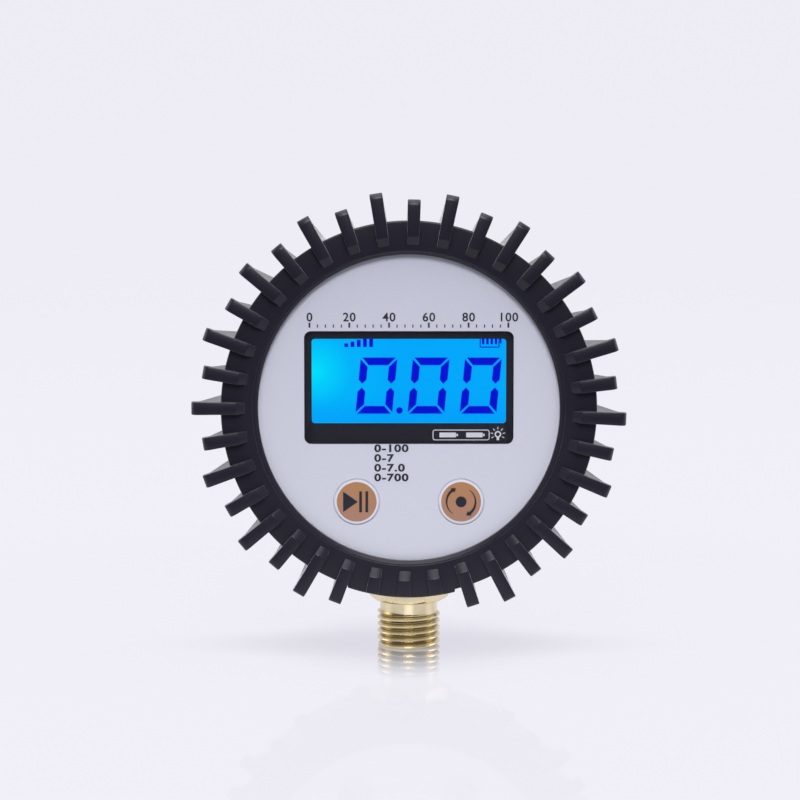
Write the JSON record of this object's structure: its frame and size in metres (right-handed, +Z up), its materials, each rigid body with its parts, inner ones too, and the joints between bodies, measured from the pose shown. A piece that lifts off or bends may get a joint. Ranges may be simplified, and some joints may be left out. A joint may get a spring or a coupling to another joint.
{
  "type": "digital tire pressure gauge",
  "caption": "Round digital pressure gauge head in a ribbed rubber boot, with a lit display and press keys, on a threaded brass stem with a wrench hexagon.",
  "frame": {"origin": "on the stem's axis at the thread's lower end face, which is also the middle of the part's footprint at the height it stands on", "axes": "+Z up along the stem, -Y the way the face looks, +X to the right seen from the front"},
  "size_m": [0.094, 0.035, 0.1013],
  "materials": {
    "boot_rubber": "matt moulded rubber",
    "case_plastic": "fine-textured moulded plastic",
    "seal_rubber": "plain",
    "label_film": "pale silver printed film",
    "window_plastic": "clear polished plastic",
    "bezel_ink": "black ink behind the window",
    "key_plastic": "printed key cap",
    "lcd_film": "polarising film",
    "lcd_glass": "polished",
    "white_plastic": "plain moulded",
    "zebra_rubber": "plain",
    "led_plastic": "clear moulded",
    "board_laminate": "solder resist",
    "chip_plastic": "moulded",
    "steel": "plated",
    "capacitor_ceramic": "ceramic",
    "red_wire": "insulated wire",
    "black_wire": "insulated wire",
    "cell_jacket": "printed jacket",
    "contact_metal": "nickel plated",
    "stem_brass": "turned and milled"
  },
  "bodies": {
    "gauge": {"rubber_boot": "boot_rubber", "front_case": "case_plastic", "rear_case": "case_plastic", "case_gasket": "seal_rubber", "face_label": "label_film", "window_lens": "window_plastic", "window_bezel": "bezel_ink", "lcd_front_film": "lcd_film", "lcd_front_glass": "lcd_glass", "lcd_rear_glass": "lcd_glass", "lcd_rear_film": "lcd_film", "lcd_holder": "white_plastic", "upper_zebra_strip": "zebra_rubber", "lower_zebra_strip": "zebra_rubber", "backlight_panel": "white_plastic", "backlight_led": "led_plastic", "circuit_board": "board_laminate", "processor": "chip_plastic", "sensor_amplifier": "chip_plastic", "quartz_crystal": "steel", "chip_capacitors": "capacitor_ceramic", "hold_switch_body": "chip_plastic", "mode_switch_body": "chip_plastic", "sensor_socket": "white_plastic", "sensor_lead": "red_wire", "board_screws": "steel", "upper_cell": "cell_jacket", "lower_cell": "cell_jacket", "bridge_contact": "contact_metal", "positive_contact": "contact_metal", "negative_contact": "contact_metal", "upper_cell_spring": "contact_metal", "lower_cell_spring": "contact_metal", "red_battery_lead": "red_wire", "black_battery_lead": "black_wire", "brass_stem": "stem_brass", "stem_clamp": "case_plastic", "clamp_screws": "steel", "pressure_sensor": "steel", "sensor_seal": "seal_rubber", "sensor_retainer": "stem_brass", "case_screws": "steel"},
    "hold_button": {"hold_key": "key_plastic", "hold_switch_plunger": "white_plastic"},
    "mode_button": {"mode_key": "key_plastic", "mode_switch_plunger": "white_plastic"},
    "door": {"battery_door": "case_plastic"}
  },
  "joints": [
    {"name": "hold_press", "type": "slide", "parent": "gauge", "child": "hold_button", "axis": [0, 1, 0], "range_m": [0, 0.0003], "stiffness_N_per_m": 3000, "springref_m": -0.0002},
    {"name": "mode_press", "type": "slide", "parent": "gauge", "child": "mode_button", "axis": [0, 1, 0], "range_m": [0, 0.0003], "stiffness_N_per_m": 3000, "springref_m": -0.0002},
    {"name": "door_hinge", "type": "hinge", "parent": "gauge", "child": "door", "pos_m": [0, 0.0138, 0.06565], "axis": [1, 0, 0], "range_deg": [0, 95]}
  ]
}
